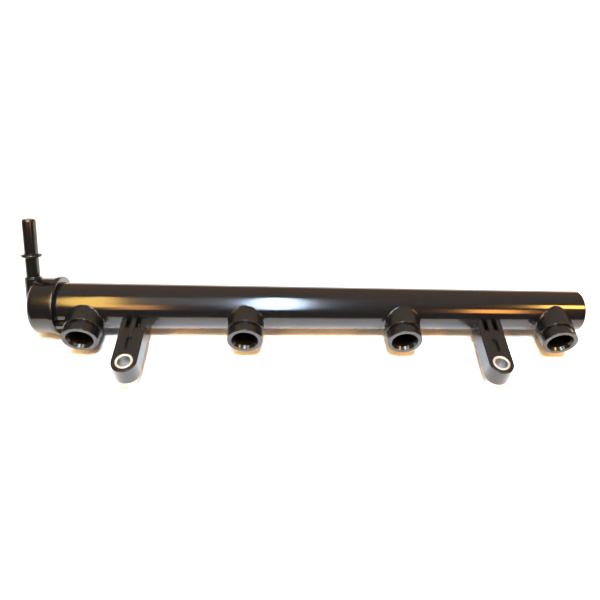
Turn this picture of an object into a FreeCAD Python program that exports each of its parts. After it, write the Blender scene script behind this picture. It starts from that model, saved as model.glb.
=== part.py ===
import FreeCAD, Part
import math
import os
import Sketcher

# Moulded fuel rail for four injectors, with its welded inlet end cap.
# Inside every body the tube's axis is the X axis, with the closed end towards +X.
# The injector cups point to -Y, and the bolts stand along Z.
# In the finished frame the origin is midway between the two bolt holes, on their seat.

# Driving dimensions in millimetres. The clip slot's sweep and the spigot's lean are in degrees.
SIZES = [
    ("bolt_reach", 43.8),
    ("tube_open_radius", 14.35),
    ("tube_closed_radius", 12.5),
    ("tube_wall", 2.5),
    ("tube_end_wall", 3.0),
    ("tube_end_round", 1.6),
    ("tube_past_last_cup", 19.8),
    ("cup_pitch", 96.0),
    ("left_bolt_from_cup", 29.9),
    ("right_bolt_from_cup", 42.5),
    ("cup_root_radius", 11.0),
    ("cup_root_reach", 19.6),
    ("cup_root_round", 1.2),
    ("cup_reach", 26.5),
    ("cup_lip_radius", 10.55),
    ("cup_lip_thickness", 1.3),
    ("clip_neck_radius", 9.4),
    ("clip_slot_sweep", 126.0),
    ("cup_edge_round", 0.4),
    ("injector_bore_radius", 6.95),
    ("injector_bore_floor", 13.9),
    ("cup_mouth_radius", 8.05),
    ("cup_mouth_depth", 2.0),
    ("cup_mouth_round", 0.35),
    ("fuel_hole_radius", 3.5),
    ("leg_width", 14.7),
    ("leg_height", 12.2),
    ("leg_top_height", 4.0),
    ("leg_block_start", 20.2),
    ("leg_rib_width", 3.1),
    ("leg_rib_rise", 0.6),
    ("leg_rib_reach", 21.8),
    ("leg_rib_round", 0.35),
    ("leg_edge_round", 0.5),
    ("leg_recess_width", 3.4),
    ("leg_recess_length", 9.0),
    ("leg_recess_depth", 2.2),
    ("leg_recess_gap", 3.0),
    ("sleeve_radius", 5.05),
    ("sleeve_bore_radius", 3.6),
    ("sleeve_edge", 0.3),
    ("sleeve_clearance", 0.02),
    ("cap_face_to_cup", 16.5),
    ("cap_lap", 11.5),
    ("cap_length", 16.0),
    ("cap_wall", 2.55),
    ("cap_end_round", 3.4),
    ("cap_end_wall", 3.0),
    ("cap_clearance", 0.1),
    ("flange_height", 1.0),
    ("flange_width", 2.5),
    ("flange_round", 1.1),
    ("lug_gap", 0.4),
    ("lug_height", 3.2),
    ("lug_thickness", 2.2),
    ("spigot_offset", 16.9),
    ("spigot_lean", 33.0),
    ("spigot_radius", 3.945),
    ("spigot_bore_radius", 2.7),
    ("spigot_length", 35.5),
    ("spigot_tip_bevel", 0.45),
    ("spigot_tip_taper", 1.45),
    ("spigot_root_round", 0.7),
    ("elbow_radius", 2.3),
    ("elbow_sump", 0.6),
    ("bead_from_tip", 22.0),
    ("bead_radius", 5.87),
    ("bead_width", 1.9),
    ("bead_round", 0.8),
    ("boss_radius", 5.0),
    ("boss_rise", 0.6),
    ("boss_depth", 12.0),
    ("boss_edge_round", 0.4),
    ("boss_foot_round", 3.0),
]
CUP_COUNT = 4

# A cut's outline runs this far past the surface that it opens, and two lengths this close are one.
CUT_PAST = 1.0
CLOSE = 1e-4

doc = FreeCAD.newDocument("fuel_rail")
sheet = doc.addObject("Spreadsheet::Sheet", "Sizes")
for row, (alias, value) in enumerate(SIZES, start=1):
    sheet.set(f"A{row}", alias)
    sheet.set(f"B{row}", str(value))
    sheet.setAlias(f"B{row}", alias)
doc.recompute()

# Places along the tube, each worked out from the sizes above.
CUP_ROW = f"({CUP_COUNT - 1} * Sizes.cup_pitch)"
BOLT_SPACING = f"({CUP_ROW} - Sizes.left_bolt_from_cup - Sizes.right_bolt_from_cup)"
LEFT_BOLT = f"(-{BOLT_SPACING} / 2)"
RIGHT_BOLT = f"({BOLT_SPACING} / 2)"
FIRST_CUP = f"({LEFT_BOLT} - Sizes.left_bolt_from_cup)"
LAST_CUP = f"({FIRST_CUP} + {CUP_ROW})"
TUBE_CLOSED_END = f"({LAST_CUP} + Sizes.tube_past_last_cup)"
CAP_FACE = f"({FIRST_CUP} - Sizes.cap_face_to_cup)"
TUBE_OPEN_END = f"({CAP_FACE} - Sizes.cap_lap)"
CAP_END = f"({CAP_FACE} - Sizes.cap_length)"
SPIGOT_PLACE = f"({CAP_FACE} - Sizes.spigot_offset)"

# The tube tapers evenly, so its outside radius anywhere follows from its two ends.
TUBE_LENGTH = f"({TUBE_CLOSED_END} - {TUBE_OPEN_END})"
TUBE_SLOPE = f"((Sizes.tube_closed_radius - Sizes.tube_open_radius) / {TUBE_LENGTH})"
RADIUS_AT_CAP_FACE = f"(Sizes.tube_open_radius + {TUBE_SLOPE} * Sizes.cap_lap)"
SOCKET_AT_SEAT = "(Sizes.tube_open_radius + Sizes.cap_clearance)"
SOCKET_AT_FACE = f"({RADIUS_AT_CAP_FACE} + Sizes.cap_clearance)"
CHAMBER_RADIUS = "(Sizes.tube_open_radius - Sizes.tube_wall)"
CAP_RADIUS = f"({SOCKET_AT_SEAT} + Sizes.cap_wall)"
FLANGE_RADIUS = f"({CAP_RADIUS} + Sizes.flange_height)"
BOSS_TOP = f"({CAP_RADIUS} + Sizes.boss_rise)"


def make_body(name):
    body = doc.addObject("PartDesign::Body", name)
    body.Label = name
    body.setExpression("Placement.Base.y", "Sizes.bolt_reach")
    body.setExpression("Placement.Base.z", "Sizes.leg_height - Sizes.leg_top_height")
    return body


def make_sketch(body, name, plane, along_x="0", along_y="0", along_z="0", lean=None):
    """A sketch on one of the body's own planes, moved within the body and leaned about X."""
    sketch = body.newObject("Sketcher::SketchObject", name)
    support = [item for item in body.Origin.OriginFeatures if item.Role == plane][0]
    sketch.AttachmentSupport = [(support, "")]
    sketch.MapMode = "FlatFace"
    sketch.setExpression("AttachmentOffset.Base.x", along_x)
    sketch.setExpression("AttachmentOffset.Base.y", along_y)
    sketch.setExpression("AttachmentOffset.Base.z", along_z)
    if lean:
        sketch.AttachmentOffset = FreeCAD.Placement(
            sketch.AttachmentOffset.Base, FreeCAD.Rotation(FreeCAD.Vector(1, 0, 0), 1))
        sketch.setExpression("AttachmentOffset.Rotation.Angle", lean)
    doc.recompute()
    return sketch


def add_outline(sketch, corners):
    """A closed outline of straight lines, whose corners are tied to expressions."""
    places = [FreeCAD.Vector(sketch.evalExpression(across), sketch.evalExpression(up), 0)
              for across, up in corners]
    first = sketch.GeometryCount
    for index, start in enumerate(places):
        end = places[(index + 1) % len(places)]
        sketch.addGeometry(Part.LineSegment(start, end), False)
    for index, (across, up) in enumerate(corners):
        line = first + index
        after = first + (index + 1) % len(corners)
        sketch.addConstraint(Sketcher.Constraint("Coincident", line, 2, after, 1))
        tie_point(sketch, line, 1, across, up)


def add_circle(sketch, across, up, radius):
    """A circle whose centre and radius are tied to expressions."""
    centre = FreeCAD.Vector(sketch.evalExpression(across), sketch.evalExpression(up), 0)
    size = sketch.evalExpression(radius)
    circle = sketch.addGeometry(Part.Circle(centre, FreeCAD.Vector(0, 0, 1), size), False)
    tie_point(sketch, circle, 3, across, up)
    held = sketch.addConstraint(Sketcher.Constraint("Radius", circle, size))
    sketch.setExpression(f"Constraints[{held}]", radius)


def tie_point(sketch, shape, point, across, up):
    """Hold one point of a sketch at two expressions, counted from the sketch's origin."""
    for kind, axis, expression in (("DistanceX", -2, across), ("DistanceY", -1, up)):
        if expression == "0":
            sketch.addConstraint(Sketcher.Constraint("PointOnObject", shape, point, axis))
            continue
        value = sketch.evalExpression(expression)
        held = sketch.addConstraint(Sketcher.Constraint(kind, -1, 1, shape, point, value))
        sketch.setExpression(f"Constraints[{held}]", expression)


def turn(body, name, kind, sketch, axis, sweep="360"):
    """A Revolution adds and a Groove cuts what the sketch sweeps about its own axis."""
    feature = body.newObject(f"PartDesign::{kind}", name)
    feature.Profile = sketch
    feature.ReferenceAxis = (sketch, [axis])
    feature.Midplane = sweep != "360"
    feature.setExpression("Angle", sweep)
    sketch.Visibility = False
    doc.recompute()
    return feature


def raise_or_cut(body, name, kind, sketch, length, reverse=False):
    """A Pad adds and a Pocket cuts the sketch's outline over a length."""
    feature = body.newObject(f"PartDesign::{kind}", name)
    feature.Profile = sketch
    feature.Reversed = reverse
    feature.setExpression("Length", length)
    sketch.Visibility = False
    doc.recompute()
    return feature


def repeat_at_cups(body, name, features):
    """Copies of one cup's features at the rail's other cups."""
    pattern = body.newObject("PartDesign::LinearPattern", name)
    pattern.Originals = features
    pattern.Direction = (features[0].Profile[0], ["H_Axis"])
    pattern.Occurrences = CUP_COUNT
    pattern.setExpression("Length", CUP_ROW)
    body.Tip = pattern
    doc.recompute()
    return pattern


def soften(body, name, kind, chosen, size):
    """A Fillet or Chamfer on the edges of the body's tip that a test picks out."""
    base = body.Tip
    names = [f"Edge{number}" for number, edge in enumerate(base.Shape.Edges, start=1) if chosen(edge)]
    feature = body.newObject(f"PartDesign::{kind}", name)
    feature.Base = (base, names)
    feature.setExpression("Radius" if kind == "Fillet" else "Size", size)
    doc.recompute()
    return feature


def value_of(expression):
    return sheet.evalExpression(expression)


def is_circle(edge, radius, along, place=None):
    """True for a round edge of this radius about this direction, with its centre at this place along it."""
    curve = edge.Curve
    if not isinstance(curve, Part.Circle) or abs(curve.Radius - radius) > CLOSE:
        return False
    if curve.Axis.cross(along).Length > CLOSE:
        return False
    return place is None or abs(curve.Center.dot(along) - place) < CLOSE


# Rail moulding: a tapered tube closed at its right end, with four cups and two bolt legs.
rail = make_body("rail_body")

tube_sketch = make_sketch(rail, "tube_outside_sketch", "XY_Plane")
add_outline(tube_sketch, [
    (TUBE_OPEN_END, "0"),
    (TUBE_OPEN_END, "Sizes.tube_open_radius"),
    (TUBE_CLOSED_END, "Sizes.tube_closed_radius"),
    (TUBE_CLOSED_END, "0"),
])
turn(rail, "tube_outside", "Revolution", tube_sketch, "H_Axis")
closed_end = value_of(TUBE_CLOSED_END)
closed_radius = value_of("Sizes.tube_closed_radius")
X_AXIS = FreeCAD.Vector(1, 0, 0)
soften(rail, "tube_end_rounding", "Fillet",
       lambda edge: is_circle(edge, closed_radius, X_AXIS, closed_end), "Sizes.tube_end_round")

# Each cup is a turned root, a clip neck between two side webs, and a thin lip at its mouth.
cup_sketch = make_sketch(rail, "cup_outside_sketch", "XY_Plane", along_x=FIRST_CUP)
LIP_BACK = "(-Sizes.cup_reach + Sizes.cup_lip_thickness)"
add_outline(cup_sketch, [
    ("0", "-Sizes.cup_root_radius / 2"),
    ("Sizes.cup_root_radius", "-Sizes.cup_root_radius / 2"),
    ("Sizes.cup_root_radius", "-Sizes.cup_root_reach"),
    ("Sizes.cup_lip_radius", "-Sizes.cup_root_reach"),
    ("Sizes.cup_lip_radius", "-Sizes.cup_reach"),
    ("0", "-Sizes.cup_reach"),
])
cup_outside = turn(rail, "cup_outside", "Revolution", cup_sketch, "V_Axis")

# The retaining clip's two slots face up and down, so the webs stay at the cup's sides.
slot_sketch = make_sketch(rail, "clip_slot_sketch", "YZ_Plane", along_z=FIRST_CUP)
for side in ("", "-"):
    add_outline(slot_sketch, [
        ("-Sizes.cup_root_reach", f"{side}Sizes.clip_neck_radius"),
        ("-Sizes.cup_root_reach", f"{side}(Sizes.cup_root_radius + {CUT_PAST})"),
        (LIP_BACK, f"{side}(Sizes.cup_root_radius + {CUT_PAST})"),
        (LIP_BACK, f"{side}Sizes.clip_neck_radius"),
    ])
clip_slots = turn(rail, "clip_slots", "Groove", slot_sketch, "H_Axis", "Sizes.clip_slot_sweep")
repeat_at_cups(rail, "cups_outside", [cup_outside, clip_slots])

# Whatever stands on the tube starts well inside its wall, and the fuel way then clears the rest.
ROOT = "(-Sizes.tube_closed_radius / 2)"

# A small rib on the tube faces the end cap's flange and shows which way up the cap goes on.
lug_sketch = make_sketch(rail, "lug_sketch", "XY_Plane")
LUG_TOP = f"(-{RADIUS_AT_CAP_FACE} - Sizes.lug_height)"
add_outline(lug_sketch, [
    (f"{CAP_FACE} + Sizes.lug_gap", ROOT),
    (FIRST_CUP, ROOT),
    (FIRST_CUP, LUG_TOP),
    (f"{CAP_FACE} + Sizes.lug_gap", LUG_TOP),
])
lug = raise_or_cut(rail, "lug", "Pad", lug_sketch, "Sizes.lug_thickness")
lug.Midplane = True

cup_width = 2 * value_of("Sizes.cup_root_radius")


def is_cup_foot(edge):
    """True for the curve along which a cup's round root meets the tube."""
    saddle = isinstance(edge.Curve, Part.BSplineCurve)
    return saddle and abs(edge.BoundBox.XLength - cup_width) < CUT_PAST


soften(rail, "cup_root_rounding", "Fillet", is_cup_foot, "Sizes.cup_root_round")

Y_AXIS = FreeCAD.Vector(0, 1, 0)
root_radius = value_of("Sizes.cup_root_radius")
root_end = value_of("-Sizes.cup_root_reach")
lip_radius = value_of("Sizes.cup_lip_radius")
lip_places = (value_of(LIP_BACK), value_of("-Sizes.cup_reach"))


def is_cup_rim(edge):
    """True for the outer edges of a cup's root and of its lip."""
    on_lip = any(is_circle(edge, lip_radius, Y_AXIS, place) for place in lip_places)
    return on_lip or is_circle(edge, root_radius, Y_AXIS, root_end)


soften(rail, "cup_rim_rounding", "Fillet", is_cup_rim, "Sizes.cup_edge_round")

# The two bolt legs are combs: three ribs reach into the tube from a block with a round end.
leg_sketch = make_sketch(rail, "leg_sketch", "XY_Plane", along_z="Sizes.leg_top_height")
HALF_LEG = "Sizes.leg_width / 2"
RIB = "Sizes.leg_rib_width"
BLOCK = "(-Sizes.leg_block_start)"
for bolt in (LEFT_BOLT, RIGHT_BOLT):
    add_outline(leg_sketch, [
        (f"{bolt} - {HALF_LEG}", ROOT),
        (f"{bolt} - {HALF_LEG} + {RIB}", ROOT),
        (f"{bolt} - {HALF_LEG} + {RIB}", BLOCK),
        (f"{bolt} - {RIB} / 2", BLOCK),
        (f"{bolt} - {RIB} / 2", ROOT),
        (f"{bolt} + {RIB} / 2", ROOT),
        (f"{bolt} + {RIB} / 2", BLOCK),
        (f"{bolt} + {HALF_LEG} - {RIB}", BLOCK),
        (f"{bolt} + {HALF_LEG} - {RIB}", ROOT),
        (f"{bolt} + {HALF_LEG}", ROOT),
        (f"{bolt} + {HALF_LEG}", "-Sizes.bolt_reach"),
        (f"{bolt} - {HALF_LEG}", "-Sizes.bolt_reach"),
    ])
raise_or_cut(rail, "leg_blocks", "Pad", leg_sketch, "Sizes.leg_height", reverse=True)

leg_end_sketch = make_sketch(rail, "leg_end_sketch", "XY_Plane", along_z="Sizes.leg_top_height")
for bolt in (LEFT_BOLT, RIGHT_BOLT):
    add_circle(leg_end_sketch, bolt, "-Sizes.bolt_reach", HALF_LEG)
raise_or_cut(rail, "leg_round_ends", "Pad", leg_end_sketch, "Sizes.leg_height", reverse=True)

leg_top = value_of("Sizes.leg_top_height")
leg_underside = leg_top - value_of("Sizes.leg_height")
leg_front = -value_of("Sizes.leg_block_start")


def is_leg_rim(edge):
    """True for the outer edges of the leg blocks' top and bottom faces."""
    box = edge.BoundBox
    level = any(abs(box.ZMin - height) + abs(box.ZMax - height) < CLOSE
                for height in (leg_top, leg_underside))
    return level and box.YMin < leg_front - CUT_PAST


soften(rail, "leg_rounding", "Fillet", is_leg_rim, "Sizes.leg_edge_round")

# The ribs stand a little proud of the block, and start below its rounded edge.
rib_sketch = make_sketch(
    rail, "rib_sketch", "XY_Plane", along_z="Sizes.leg_top_height - Sizes.leg_edge_round")
for bolt in (LEFT_BOLT, RIGHT_BOLT):
    for middle in (f"{bolt} - {HALF_LEG} + {RIB} / 2", bolt, f"{bolt} + {HALF_LEG} - {RIB} / 2"):
        add_outline(rib_sketch, [
            (f"{middle} - {RIB} / 2", ROOT),
            (f"{middle} + {RIB} / 2", ROOT),
            (f"{middle} + {RIB} / 2", "-Sizes.leg_rib_reach"),
            (f"{middle} - {RIB} / 2", "-Sizes.leg_rib_reach"),
        ])
raise_or_cut(rail, "leg_ribs", "Pad", rib_sketch, "Sizes.leg_edge_round + Sizes.leg_rib_rise")

rib_top = leg_top + value_of("Sizes.leg_rib_rise")
rib_front = -value_of("Sizes.leg_rib_reach")


def is_rib_rim(edge):
    """True for the edges of a rib's top face, other than the one along the tube."""
    box = edge.BoundBox
    level = abs(box.ZMin - rib_top) + abs(box.ZMax - rib_top) < CLOSE
    return level and abs(box.YMin - rib_front) < CLOSE


soften(rail, "rib_rounding", "Fillet", is_rib_rim, "Sizes.leg_rib_round")

# The fuel way runs through the tube, and an injector's bore drops into it from each cup.
tube_bore_sketch = make_sketch(rail, "tube_bore_sketch", "XY_Plane")
add_outline(tube_bore_sketch, [
    (TUBE_OPEN_END, "0"),
    (TUBE_OPEN_END, CHAMBER_RADIUS),
    (f"{TUBE_CLOSED_END} - Sizes.tube_end_wall", "Sizes.tube_closed_radius - Sizes.tube_wall"),
    (f"{TUBE_CLOSED_END} - Sizes.tube_end_wall", "0"),
])
turn(rail, "tube_bore", "Groove", tube_bore_sketch, "H_Axis")

cup_bore_sketch = make_sketch(rail, "cup_bore_sketch", "XY_Plane", along_x=FIRST_CUP)
add_outline(cup_bore_sketch, [
    ("0", ROOT),
    ("Sizes.fuel_hole_radius", ROOT),
    ("Sizes.fuel_hole_radius", "-Sizes.injector_bore_floor"),
    ("Sizes.injector_bore_radius", "-Sizes.injector_bore_floor"),
    ("Sizes.injector_bore_radius", "-Sizes.cup_reach + Sizes.cup_mouth_depth"),
    ("Sizes.cup_mouth_radius", "-Sizes.cup_reach"),
    ("0", "-Sizes.cup_reach"),
])
cup_bore = turn(rail, "cup_bore", "Groove", cup_bore_sketch, "V_Axis")
repeat_at_cups(rail, "cup_bores", [cup_bore])
mouth_radius = value_of("Sizes.cup_mouth_radius")
soften(rail, "cup_mouth_rounding", "Fillet",
       lambda edge: is_circle(edge, mouth_radius, Y_AXIS, -value_of("Sizes.cup_reach")),
       "Sizes.cup_mouth_round")

# Each leg has a hole for its metal sleeve, and a shallow plain recess in its top face.
leg_hole_sketch = make_sketch(rail, "leg_hole_sketch", "XY_Plane", along_z="Sizes.leg_top_height")
for bolt in (LEFT_BOLT, RIGHT_BOLT):
    add_circle(leg_hole_sketch, bolt, "-Sizes.bolt_reach", "Sizes.sleeve_radius + Sizes.sleeve_clearance")
raise_or_cut(rail, "leg_holes", "Pocket", leg_hole_sketch, "Sizes.leg_height")

recess_sketch = make_sketch(rail, "leg_recess_sketch", "XY_Plane", along_z="Sizes.leg_top_height")
HALF_RECESS = "Sizes.leg_recess_width / 2"
RECESS_END = f"(-Sizes.bolt_reach + Sizes.sleeve_radius + Sizes.leg_recess_gap + {HALF_RECESS})"
RECESS_START = f"({RECESS_END} + Sizes.leg_recess_length - Sizes.leg_recess_width)"
for bolt in (LEFT_BOLT, RIGHT_BOLT):
    add_outline(recess_sketch, [
        (f"{bolt} - {HALF_RECESS}", RECESS_END),
        (f"{bolt} + {HALF_RECESS}", RECESS_END),
        (f"{bolt} + {HALF_RECESS}", RECESS_START),
        (f"{bolt} - {HALF_RECESS}", RECESS_START),
    ])
raise_or_cut(rail, "leg_recesses", "Pocket", recess_sketch, "Sizes.leg_recess_depth")

recess_end_sketch = make_sketch(rail, "leg_recess_end_sketch", "XY_Plane", along_z="Sizes.leg_top_height")
for bolt in (LEFT_BOLT, RIGHT_BOLT):
    for end in (RECESS_END, RECESS_START):
        add_circle(recess_end_sketch, bolt, end, HALF_RECESS)
raise_or_cut(rail, "leg_recess_ends", "Pocket", recess_end_sketch, "Sizes.leg_recess_depth")

# Inlet end cap: a turned cover over the tube's open end, with a leaning quick-connect spigot.
cap = make_body("inlet_end_cap")

cap_sketch = make_sketch(cap, "cap_outside_sketch", "XY_Plane")
add_outline(cap_sketch, [
    (CAP_END, "0"),
    (CAP_END, CAP_RADIUS),
    (f"{CAP_FACE} - Sizes.flange_width", CAP_RADIUS),
    (f"{CAP_FACE} - Sizes.flange_width", FLANGE_RADIUS),
    (CAP_FACE, FLANGE_RADIUS),
    (CAP_FACE, "0"),
])
turn(cap, "cap_outside", "Revolution", cap_sketch, "H_Axis")

cap_end = value_of(CAP_END)
cap_face = value_of(CAP_FACE)
cap_radius = value_of(CAP_RADIUS)
flange_radius = value_of(FLANGE_RADIUS)
soften(cap, "cap_end_rounding", "Fillet",
       lambda edge: is_circle(edge, cap_radius, X_AXIS, cap_end), "Sizes.cap_end_round")
soften(cap, "flange_rounding", "Fillet",
       lambda edge: is_circle(edge, flange_radius, X_AXIS, cap_face), "Sizes.flange_round")

# The boss crosses the cap's end face, so its lower end is rounded into an elbow.
boss_sketch = make_sketch(cap, "boss_sketch", "XZ_Plane", along_x=SPIGOT_PLACE, lean="-Sizes.spigot_lean")
add_outline(boss_sketch, [
    ("0", "-Sizes.boss_depth"),
    ("Sizes.boss_radius", "-Sizes.boss_depth"),
    ("Sizes.boss_radius", BOSS_TOP),
    ("0", BOSS_TOP),
])
turn(cap, "boss", "Revolution", boss_sketch, "V_Axis")

boss_radius = value_of("Sizes.boss_radius")
boss_top = value_of(BOSS_TOP)
lean = math.radians(value_of("Sizes.spigot_lean"))
SPIGOT_AXIS = FreeCAD.Vector(0, math.sin(lean), math.cos(lean))


def is_boss_foot(edge):
    """True for the round edge at the boss's lower end."""
    return is_circle(edge, boss_radius, SPIGOT_AXIS, -value_of("Sizes.boss_depth"))


def is_boss_rim(edge):
    """True for the round edge at the boss's upper end."""
    return is_circle(edge, boss_radius, SPIGOT_AXIS, boss_top)


soften(cap, "boss_foot_rounding", "Fillet", is_boss_foot, "Sizes.boss_foot_round")
soften(cap, "boss_rim_rounding", "Fillet", is_boss_rim, "Sizes.boss_edge_round")

# The spigot is a standard tube end with a round bead that the connector latches behind.
spigot_sketch = make_sketch(cap, "spigot_sketch", "XZ_Plane", along_x=SPIGOT_PLACE, lean="-Sizes.spigot_lean")
SPIGOT_TIP = f"({BOSS_TOP} + Sizes.spigot_length)"
BEAD_TOP = f"({SPIGOT_TIP} - Sizes.bead_from_tip + Sizes.bead_width / 2)"
BEAD_FOOT = f"({SPIGOT_TIP} - Sizes.bead_from_tip - Sizes.bead_width / 2)"
add_outline(spigot_sketch, [
    ("0", "0"),
    ("Sizes.spigot_radius", "0"),
    ("Sizes.spigot_radius", BEAD_FOOT),
    ("Sizes.bead_radius", BEAD_FOOT),
    ("Sizes.bead_radius", BEAD_TOP),
    ("Sizes.spigot_radius", BEAD_TOP),
    ("Sizes.spigot_radius", f"{SPIGOT_TIP} - Sizes.spigot_tip_taper"),
    ("Sizes.spigot_radius - Sizes.spigot_tip_bevel", SPIGOT_TIP),
    ("0", SPIGOT_TIP),
])
turn(cap, "spigot", "Revolution", spigot_sketch, "V_Axis")
bead_radius = value_of("Sizes.bead_radius")
soften(cap, "bead_rounding", "Fillet",
       lambda edge: is_circle(edge, bead_radius, SPIGOT_AXIS), "Sizes.bead_round")

spigot_radius = value_of("Sizes.spigot_radius")


def is_spigot_foot(edge):
    """True for the round edge where the spigot rises from the boss."""
    return is_circle(edge, spigot_radius, SPIGOT_AXIS, boss_top)


soften(cap, "spigot_foot_rounding", "Fillet", is_spigot_foot, "Sizes.spigot_root_round")

# Fuel comes down the spigot, turns in the boss and leaves through the chamber into the tube.
socket_sketch = make_sketch(cap, "socket_sketch", "XY_Plane")
add_outline(socket_sketch, [
    (f"{CAP_END} + Sizes.cap_end_wall", "0"),
    (f"{CAP_END} + Sizes.cap_end_wall", CHAMBER_RADIUS),
    (TUBE_OPEN_END, CHAMBER_RADIUS),
    (TUBE_OPEN_END, SOCKET_AT_SEAT),
    (CAP_FACE, SOCKET_AT_FACE),
    (CAP_FACE, "0"),
])
turn(cap, "socket", "Groove", socket_sketch, "H_Axis")

spigot_bore_sketch = make_sketch(
    cap, "spigot_bore_sketch", "XZ_Plane", along_x=SPIGOT_PLACE, lean="-Sizes.spigot_lean")
SUMP = "(-Sizes.elbow_radius - Sizes.elbow_sump)"
add_outline(spigot_bore_sketch, [
    ("0", SUMP),
    ("Sizes.spigot_bore_radius", SUMP),
    ("Sizes.spigot_bore_radius", SPIGOT_TIP),
    ("0", SPIGOT_TIP),
])
turn(cap, "spigot_bore", "Groove", spigot_bore_sketch, "V_Axis")

elbow_sketch = make_sketch(cap, "elbow_sketch", "YZ_Plane", along_z=SPIGOT_PLACE)
add_circle(elbow_sketch, "0", "0", "Sizes.elbow_radius")
raise_or_cut(cap, "elbow", "Pocket", elbow_sketch,
             f"{CAP_END} + Sizes.cap_end_wall - {SPIGOT_PLACE}", reverse=True)

# Two metal sleeves take the bolts' clamping load, so the plastic legs aren't crushed.
sleeves = []
for side, bolt in (("left", LEFT_BOLT), ("right", RIGHT_BOLT)):
    sleeve = make_body(f"bolt_sleeve_{side}")
    ring_sketch = make_sketch(sleeve, f"ring_sketch_{side}", "XY_Plane", along_z="Sizes.leg_top_height")
    add_circle(ring_sketch, bolt, "-Sizes.bolt_reach", "Sizes.sleeve_radius")
    add_circle(ring_sketch, bolt, "-Sizes.bolt_reach", "Sizes.sleeve_bore_radius")
    raise_or_cut(sleeve, f"ring_{side}", "Pad", ring_sketch, "Sizes.leg_height", reverse=True)
    soften(sleeve, f"ring_edges_{side}", "Chamfer",
           lambda edge: isinstance(edge.Curve, Part.Circle), "Sizes.sleeve_edge")
    sleeves.append(sleeve)

doc.recompute()
for item in doc.Objects:
    if "Invalid" in item.State or "Error" in item.State:
        raise RuntimeError(f"{item.Name} did not build: {item.State}")

os.makedirs("parts", exist_ok=True)
for body in [rail, cap] + sleeves:
    shape = body.Shape
    if shape.isNull() or not shape.isValid() or len(shape.Solids) != 1:
        raise RuntimeError(f"{body.Label} is not one valid solid")
    shape.exportStep(f"parts/{body.Label}.step")
    print(body.Label, "volume", round(shape.Volume, 1), "box", shape.BoundBox)
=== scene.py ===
import math

import bpy
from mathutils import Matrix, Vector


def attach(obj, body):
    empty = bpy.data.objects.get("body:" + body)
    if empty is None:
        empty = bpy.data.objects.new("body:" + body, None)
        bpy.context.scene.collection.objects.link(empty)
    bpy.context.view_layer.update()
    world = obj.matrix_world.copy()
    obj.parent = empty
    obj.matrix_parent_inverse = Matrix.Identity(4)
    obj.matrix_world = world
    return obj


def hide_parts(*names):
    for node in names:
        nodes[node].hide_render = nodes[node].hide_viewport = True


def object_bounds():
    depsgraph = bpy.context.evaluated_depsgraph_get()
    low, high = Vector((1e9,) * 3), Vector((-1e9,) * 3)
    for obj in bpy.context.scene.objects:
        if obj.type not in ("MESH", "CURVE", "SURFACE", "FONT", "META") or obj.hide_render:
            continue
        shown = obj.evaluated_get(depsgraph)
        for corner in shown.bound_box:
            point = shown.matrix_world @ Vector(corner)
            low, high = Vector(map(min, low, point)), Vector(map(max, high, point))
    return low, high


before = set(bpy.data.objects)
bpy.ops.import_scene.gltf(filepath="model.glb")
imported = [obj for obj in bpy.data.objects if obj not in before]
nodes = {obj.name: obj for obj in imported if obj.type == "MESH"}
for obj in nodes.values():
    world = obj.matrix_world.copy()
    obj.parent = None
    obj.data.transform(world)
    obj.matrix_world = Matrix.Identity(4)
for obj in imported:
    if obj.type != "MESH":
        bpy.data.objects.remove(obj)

MM = 0.001
cad_low, cad_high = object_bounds()


# Rail moulding
# One injection moulding of black glass-filled nylon: the tapered fuel tube, four injector
# cups and two bolt legs. It comes from a polished mould, so its skin is glossy.

def linear(hex_colour):
    channels = [int(hex_colour[i:i + 2], 16) / 255 for i in (1, 3, 5)]
    lit = [c / 12.92 if c <= 0.04045 else ((c + 0.055) / 1.055) ** 2.4 for c in channels]
    return (*lit, 1.0)


def add_node(tree, kind, settings, links):
    node = tree.nodes.new(kind)
    for name, value in settings.items():
        if name in node.inputs:
            node.inputs[name].default_value = value
        else:
            setattr(node, name, value)
    for name, source in links.items():
        tree.links.new(source, node.inputs[name])
    return node


def empty_tree(block):
    block.use_nodes = True
    block.node_tree.nodes.clear()
    return block.node_tree


SHARP_CORNER = math.radians(26)
SAME_POINT = 0.001 * MM


def finish_with(piece, kind, **settings):
    bpy.context.view_layer.objects.active = piece
    modifier = piece.modifiers.new(kind.lower(), kind)
    for name, value in settings.items():
        setattr(modifier, name, value)
    bpy.ops.object.modifier_apply(modifier=modifier.name)


def copy_of(node_name, piece_name, material):
    # The CAD's loose triangles are merged, so that the copy can be shaded as one skin.
    piece = bpy.data.objects.new(piece_name, nodes[node_name].data.copy())
    bpy.context.scene.collection.objects.link(piece)
    bpy.ops.object.select_all(action="DESELECT")
    piece.select_set(True)
    bpy.context.view_layer.objects.active = piece
    bpy.ops.mesh.customdata_custom_splitnormals_clear()
    bpy.ops.object.mode_set(mode="EDIT")
    bpy.ops.mesh.select_all(action="SELECT")
    bpy.ops.mesh.remove_doubles(threshold=SAME_POINT)
    bpy.ops.object.mode_set(mode="OBJECT")
    finish_with(piece, "EDGE_SPLIT", split_angle=SHARP_CORNER)
    bpy.ops.object.shade_smooth()
    finish_with(piece, "WEIGHTED_NORMAL", mode="FACE_AREA_WITH_ANGLE")
    for slot in piece.material_slots:
        slot.material = material
    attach(piece, "root")
    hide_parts(node_name)
    return piece


# Black nylon from a polished mould: a deep warm black under a clear reflection. A faint
# waviness in the skin breaks up a mirrored lamp's edge. The mould's fine grain is drawn
# coarser than the real one, so that it shows.
SKIN_WAVE = 6.0 * MM
WAVE_HEIGHT = 0.05 * MM
SKIN_GRAIN = 0.5 * MM
GRAIN_HEIGHT = 0.01 * MM
GRAIN_STRENGTH = 0.1
NYLON_IOR = 1.53


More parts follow.
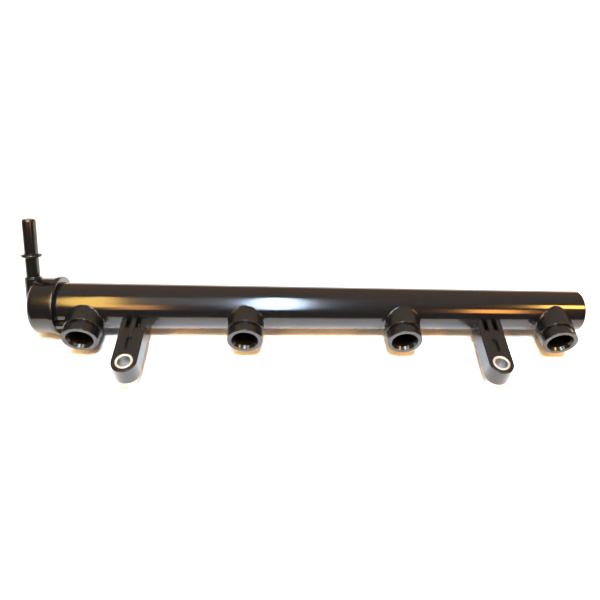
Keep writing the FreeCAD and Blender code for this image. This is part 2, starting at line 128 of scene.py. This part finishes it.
def moulded_nylon(name, colour, roughness, wave_strength):
    material = bpy.data.materials.new(name)
    tree = empty_tree(material)
    place = add_node(tree, "ShaderNodeTexCoord", {}, {}).outputs["Object"]
    wave = add_node(tree, "ShaderNodeTexNoise",
                    {"Scale": 1 / SKIN_WAVE, "Detail": 2.0, "Roughness": 0.4},
                    {"Vector": place})
    grain = add_node(tree, "ShaderNodeTexNoise",
                     {"Scale": 1 / SKIN_GRAIN, "Detail": 1.0},
                     {"Vector": place})
    skin = add_node(tree, "ShaderNodeBump",
                    {"Strength": wave_strength, "Distance": WAVE_HEIGHT},
                    {"Height": wave.outputs["Fac"]})
    fine_skin = add_node(tree, "ShaderNodeBump",
                         {"Strength": GRAIN_STRENGTH, "Distance": GRAIN_HEIGHT},
                         {"Height": grain.outputs["Fac"], "Normal": skin.outputs["Normal"]})
    shader = add_node(tree, "ShaderNodeBsdfPrincipled",
                      {"Base Color": linear(colour), "Roughness": roughness, "IOR": NYLON_IOR},
                      {"Normal": fine_skin.outputs["Normal"]})
    add_node(tree, "ShaderNodeOutputMaterial", {}, {"Surface": shader.outputs["BSDF"]})
    return material


TUBE_ROUGHNESS = 0.14
rail_nylon = moulded_nylon("gloss_moulded_nylon", "#0c0b0b", TUBE_ROUGHNESS, wave_strength=0.2)
rail = copy_of("rail_body", "rail_moulding", rail_nylon)

# A lamp's reflection runs straight along the tube only if the long triangles of its skin
# are shaded as the true taper is. So that taper is turned once more and lends its normals.
TUBE_START = -165.7 * MM
TUBE_END = 170.1 * MM
TUBE_START_RADIUS = 14.35 * MM
TUBE_END_RADIUS = 12.5 * MM
TUBE_Y = 43.8 * MM
TUBE_Z = 8.2 * MM
TAPER_SIDES = 256
SKIN_FIT = 0.02 * MM


def off_the_taper(point):
    along = (point.x - TUBE_START) / (TUBE_END - TUBE_START)
    radius = TUBE_START_RADIUS + along * (TUBE_END_RADIUS - TUBE_START_RADIUS)
    return abs(math.hypot(point.y - TUBE_Y, point.z - TUBE_Z) - radius)


bpy.ops.object.select_all(action="DESELECT")
bpy.ops.mesh.primitive_cone_add(
    vertices=TAPER_SIDES, radius1=TUBE_START_RADIUS, radius2=TUBE_END_RADIUS,
    depth=TUBE_END - TUBE_START, end_fill_type="NOTHING",
    location=((TUBE_START + TUBE_END) / 2, TUBE_Y, TUBE_Z), rotation=(0, math.pi / 2, 0))
taper = bpy.context.object
bpy.ops.object.shade_smooth()
tube_skin = rail.vertex_groups.new(name="tube_skin")
for face in rail.data.polygons:
    corners = [rail.data.vertices[i].co for i in face.vertices]
    if max(off_the_taper(corner) for corner in corners) < SKIN_FIT:
        tube_skin.add(list(face.vertices), 1.0, "REPLACE")
bpy.ops.object.select_all(action="DESELECT")
rail.select_set(True)
finish_with(rail, "DATA_TRANSFER", object=taper, use_loop_data=True,
            data_types_loops={"CUSTOM_NORMAL"}, loop_mapping="POLYINTERP_NEAREST",
            vertex_group=tube_skin.name)
rail.vertex_groups.clear()
bpy.data.objects.remove(taper)

# The mould is polished along the tube only. The slides that form the cups and the legs
# leave a slightly duller skin, from about a millimetre off the tube.
SLIDE_ROUGHNESS = 0.23
DULL_FROM = TUBE_START_RADIUS + 0.2 * MM
DULL_FULLY = TUBE_START_RADIUS + 1.2 * MM

rail_tree = rail_nylon.node_tree
rail_place = add_node(rail_tree, "ShaderNodeTexCoord", {}, {})
across = add_node(rail_tree, "ShaderNodeVectorMath", {"operation": "MULTIPLY"},
                  {0: rail_place.outputs["Object"]})
across.inputs[1].default_value = (0, 1, 1)
off_axis = add_node(rail_tree, "ShaderNodeVectorMath", {"operation": "DISTANCE"},
                    {0: across.outputs["Vector"]})
off_axis.inputs[1].default_value = (0, TUBE_Y, TUBE_Z)
gloss = add_node(rail_tree, "ShaderNodeMapRange",
                 {"From Min": DULL_FROM, "From Max": DULL_FULLY,
                  "To Min": TUBE_ROUGHNESS, "To Max": SLIDE_ROUGHNESS},
                 {"Value": off_axis.outputs["Value"]})
rail_shader = rail_tree.nodes["Principled BSDF"]
rail_tree.links.new(gloss.outputs["Result"], rail_shader.inputs["Roughness"])


# Inlet end cap
# A second nylon moulding: the cap with its welding flange, the elbow boss and the
# quick-connect spigot. It is spun against the tube's open end until the two weld.

CAP_ROUGHNESS = 0.11
cap_nylon = moulded_nylon("polished_moulded_nylon", "#0b0a0a", CAP_ROUGHNESS, wave_strength=0.1)
copy_of("inlet_end_cap", "end_cap_moulding", cap_nylon)


# Bolt sleeves
# Two short steel tubes, zinc plated, moulded into the legs' ends. They carry the bolts'
# load, so the nylon isn't crushed. Their colour holds painted light and shade.

# The plate's fine grain is drawn coarser than the real one, so that it shows.
PLATE_GRAIN = 0.25 * MM
PLATE_GRAIN_HEIGHT = 0.01 * MM
SHADED_BORE_SLOPE = 0.3
LIT_FACE_SLOPE = 0.7


def zinc_plate():
    # Bright zinc over turned steel, coloured by the faces' own slope as painted light and
    # shade:
    # the up-facing end faces are painted bright and slightly warm as the lit side, and the bore
    # is painted duller and bluish as painted shade.
    material = bpy.data.materials.new("zinc_plated_turned_steel")
    tree = empty_tree(material)
    place = add_node(tree, "ShaderNodeTexCoord", {}, {})
    slope = add_node(tree, "ShaderNodeSeparateXYZ", {}, {"Vector": place.outputs["Normal"]})
    level = add_node(tree, "ShaderNodeMath", {"operation": "ABSOLUTE"}, {0: slope.outputs["Z"]})
    # Painted shade: the sideways-facing bore gets the darker bluish colour, and the lit end
    # faces get the bright one.
    lit_and_shaded_tone = add_node(tree, "ShaderNodeValToRGB", {}, {"Fac": level.outputs["Value"]})
    shaded_bore_tone, lit_face_tone = lit_and_shaded_tone.color_ramp.elements
    shaded_bore_tone.position = SHADED_BORE_SLOPE
    shaded_bore_tone.color = linear("#8d9597")
    lit_face_tone.position = LIT_FACE_SLOPE
    lit_face_tone.color = linear("#f2efe6")
    grain = add_node(tree, "ShaderNodeTexNoise",
                     {"Scale": 1 / PLATE_GRAIN, "Detail": 2.0},
                     {"Vector": place.outputs["Object"]})
    skin = add_node(tree, "ShaderNodeBump",
                    {"Strength": 0.2, "Distance": PLATE_GRAIN_HEIGHT},
                    {"Height": grain.outputs["Fac"]})
    shader = add_node(tree, "ShaderNodeBsdfPrincipled",
                      {"Metallic": 1.0, "Roughness": 0.5},
                      {"Base Color": lit_and_shaded_tone.outputs["Color"], "Normal": skin.outputs["Normal"]})
    add_node(tree, "ShaderNodeOutputMaterial", {}, {"Surface": shader.outputs["BSDF"]})
    return material


sleeve_zinc = zinc_plate()
for side in ("left", "right"):
    copy_of(f"bolt_sleeve_{side}", f"zinc_sleeve_{side}", sleeve_zinc)


# Table
# A plain white table top, which the rail's end flange stands on.

TABLE_WIDTH = 1.2
TABLE_FRONT = -0.12
TABLE_BACK = 0.85
TABLE_TOP = cad_low.z - 0.1 * MM

bpy.ops.object.select_all(action="DESELECT")
bpy.ops.mesh.primitive_plane_add(
    size=1.0, location=(0, (TABLE_FRONT + TABLE_BACK) / 2, TABLE_TOP))
table = bpy.context.object
table.name = "table"
table.scale = (TABLE_WIDTH, TABLE_BACK - TABLE_FRONT, 1)
bpy.ops.object.transform_apply(location=True, rotation=True, scale=True)

laminate = bpy.data.materials.new("white_laminate")
laminate_tree = empty_tree(laminate)
laminate_shader = add_node(laminate_tree, "ShaderNodeBsdfPrincipled",
                           {"Base Color": linear("#fafaf9"), "Roughness": 0.6}, {})
add_node(laminate_tree, "ShaderNodeOutputMaterial", {},
         {"Surface": laminate_shader.outputs["BSDF"]})
table.data.materials.append(laminate)


# Lamps and room
# A cool lamp between warm ones hangs above the front of the table, and the rail mirrors
# them all. The table's own white light comes from lamps that nothing mirrors.

def hang_lamp(name, place, turn, colour, watts, **settings):
    light = bpy.data.lights.new(name, "AREA")
    light.color = linear(colour)[:3]
    light.energy = watts
    for setting, value in settings.items():
        setattr(light, setting, value)
    holder = bpy.data.objects.new(name, light)
    holder.location = place
    holder.rotation_euler = (math.radians(turn), 0, 0)
    bpy.context.scene.collection.objects.link(holder)
    return holder


# The mirrored lamps all hang this far from the tube. Their places along it and their sizes
# are in metres, and their elevations are in degrees above the table's front.
LAMP_DISTANCE = 0.6
for name, shape, x, elevation, width, height, watts, colour in (
        ("middle_lamp", "ELLIPSE", -0.028, 68, 0.095, 0.78, 8.0, "#cfe6ff"),
        ("left_lamp", "ELLIPSE", -0.337, 67, 0.10, 0.60, 3.3, "#ffcd6a"),
        ("right_lamp", "RECTANGLE", 0.487, 67.5, 0.12, 0.18, 3.6, "#ffbf5a"),
        ("pale_board", "RECTANGLE", -0.190, 74, 0.16, 0.40, 0.2, "#e6ecf0"),
        ("low_left_lamp", "RECTANGLE", -0.262, 42, 0.07, 0.24, 0.62, "#ffb26a"),
        ("low_right_lamp", "RECTANGLE", 0.345, 38, 0.09, 0.20, 1.7, "#ffa84f")):
    angle = math.radians(elevation)
    place = (x, TUBE_Y - LAMP_DISTANCE * math.cos(angle),
             TUBE_Z + LAMP_DISTANCE * math.sin(angle))
    lamp = hang_lamp(name, place, 90 - elevation, colour, watts,
                     shape=shape, size=width, size_y=height)
    # The middle lamp is only mirrored, and throws no light on the table.
    lamp.visible_diffuse = name != "middle_lamp"

# A cool strip above the rail, a small key lamp above the camera, and a wide lamp for the
# back of the table.
table_light = hang_lamp("table_light", (0, 0, 0.36), 2, "#b8dcff", 0.32,
                        shape="RECTANGLE", size=0.4, size_y=0.05, spread=math.radians(36))
key_light = hang_lamp("key_light", (-0.017, -0.13, 0.47), 20, "#ffffff", 3.3,
                      shape="SQUARE", size=0.05)
back_light = hang_lamp("back_light", (0, 0.7, 0.75), 0, "#ffffff", 13.0,
                       shape="RECTANGLE", size=1.3, size_y=0.4)
for unseen in (table_light, key_light, back_light):
    unseen.visible_glossy = False

# The room is seen only in the rail. From front to back it has a dark side, a pale ceiling
# and a warm brown wall. All else gets a faint white fill, and past the table's edge the
# camera sees plain white.
FILL_STRENGTH = 0.2
PAST_TABLE_EXTRA = 1.2
ROOM_TURN = (
    (0.0, "#6c6c6b"),
    (0.17, "#6c6c6b"),
    (0.30, "#7f766e"),
    (0.42, "#b09c88"),
    (0.53, "#cab19a"),
    (0.65, "#d4bda8"),
    (0.79, "#d6b997"),
    (1.0, "#c8956a"),
)
room = bpy.data.worlds.new("room")
bpy.context.scene.world = room
room_tree = empty_tree(room)
way = add_node(room_tree, "ShaderNodeTexCoord", {}, {})
parts = add_node(room_tree, "ShaderNodeSeparateXYZ", {}, {"Vector": way.outputs["Generated"]})
towards = add_node(room_tree, "ShaderNodeMath", {"operation": "MULTIPLY"},
                   {0: parts.outputs["Y"]})
towards.inputs[1].default_value = -1.0
around = add_node(room_tree, "ShaderNodeMath", {"operation": "ARCTAN2"},
                  {0: parts.outputs["Z"], 1: towards.outputs["Value"]})
share = add_node(room_tree, "ShaderNodeMath", {"operation": "DIVIDE"},
                 {0: around.outputs["Value"]})
share.inputs[1].default_value = math.pi
walls = add_node(room_tree, "ShaderNodeValToRGB", {}, {"Fac": share.outputs["Value"]})
ramp = walls.color_ramp
while len(ramp.elements) < len(ROOM_TURN):
    ramp.elements.new(0.5)
for stop, (place, colour) in zip(ramp.elements, ROOM_TURN):
    stop.position = place
    stop.color = linear(colour)
mirrored = add_node(room_tree, "ShaderNodeBackground", {"Strength": 1.0},
                    {"Color": walls.outputs["Color"]})
ray = add_node(room_tree, "ShaderNodeLightPath", {}, {})
white = add_node(room_tree, "ShaderNodeMath", {"operation": "MULTIPLY_ADD"},
                 {0: ray.outputs["Is Camera Ray"]})
white.inputs[1].default_value = PAST_TABLE_EXTRA
white.inputs[2].default_value = FILL_STRENGTH
fill = add_node(room_tree, "ShaderNodeBackground", {"Color": linear("#e6f2ff")},
                {"Strength": white.outputs["Value"]})
room_light = add_node(room_tree, "ShaderNodeMixShader", {},
                      {0: ray.outputs["Is Glossy Ray"],
                       1: fill.outputs["Background"], 2: mirrored.outputs["Background"]})
add_node(room_tree, "ShaderNodeOutputWorld", {}, {"Surface": room_light.outputs["Shader"]})
bpy.context.scene.view_settings.view_transform = "Standard"


# Camera
# Found from the photograph: above the front of the rail, looking down at about 45 degrees.

camera_data = bpy.data.cameras.new("camera")
camera_data.lens = 33.036
camera_data.sensor_width = 36.0
camera_data.shift_x = -0.0256
camera_data.shift_y = -0.057
camera_data.clip_start = 0.01
camera = bpy.data.objects.new("camera", camera_data)
camera.location = (-17.19 * MM, -181.93 * MM, 272.85 * MM)
camera.rotation_euler = [math.radians(a) for a in (44.833, -2.646, -1.505)]
bpy.context.scene.collection.objects.link(camera)
bpy.context.scene.camera = camera
